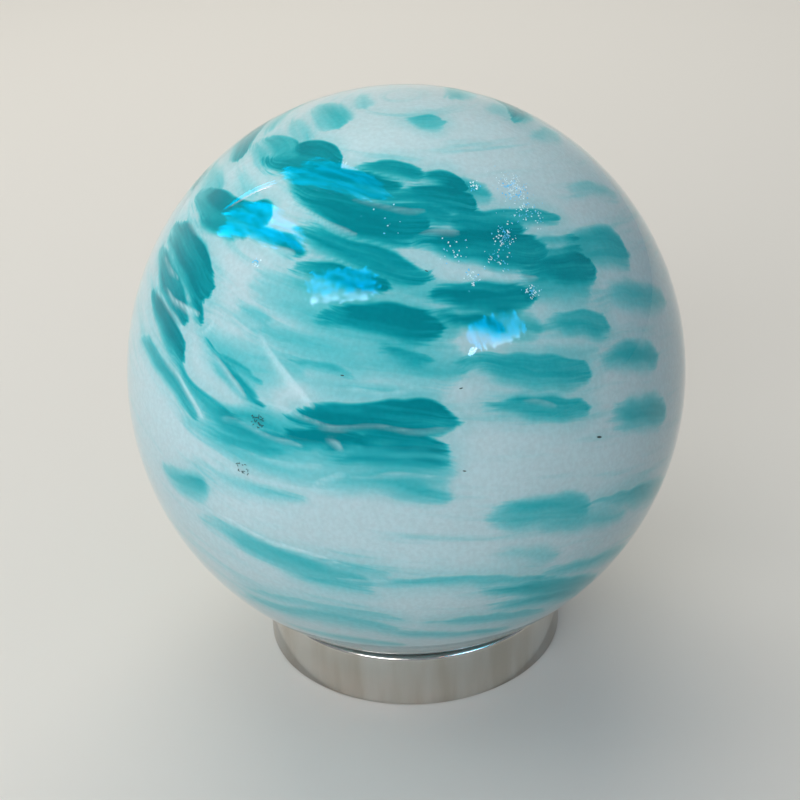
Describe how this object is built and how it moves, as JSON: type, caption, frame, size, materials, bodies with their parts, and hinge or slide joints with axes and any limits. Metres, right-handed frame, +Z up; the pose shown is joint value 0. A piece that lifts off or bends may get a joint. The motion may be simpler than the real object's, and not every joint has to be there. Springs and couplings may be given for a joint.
{
  "type": "witch ball",
  "caption": "Sealed blown-glass witch ball with drifting teal colour in milky glass, resting in a low polished metal ring.",
  "frame": {"origin": "centre of the ring's underside, on the common axis of ring and globe", "axes": "+Z up along the common axis; the side seen in the picture faces -Y"},
  "size_m": [0.15, 0.15, 0.1578],
  "materials": {
    "opal_glass": "glossy milky blown glass with teal colour drawn through it",
    "satin_metal": "smooth satin to polished steel with a rounded bright rim"
  },
  "bodies": {
    "root": {"glass_ball": "opal_glass", "ring_stand": "satin_metal"}
  },
  "joints": []
}
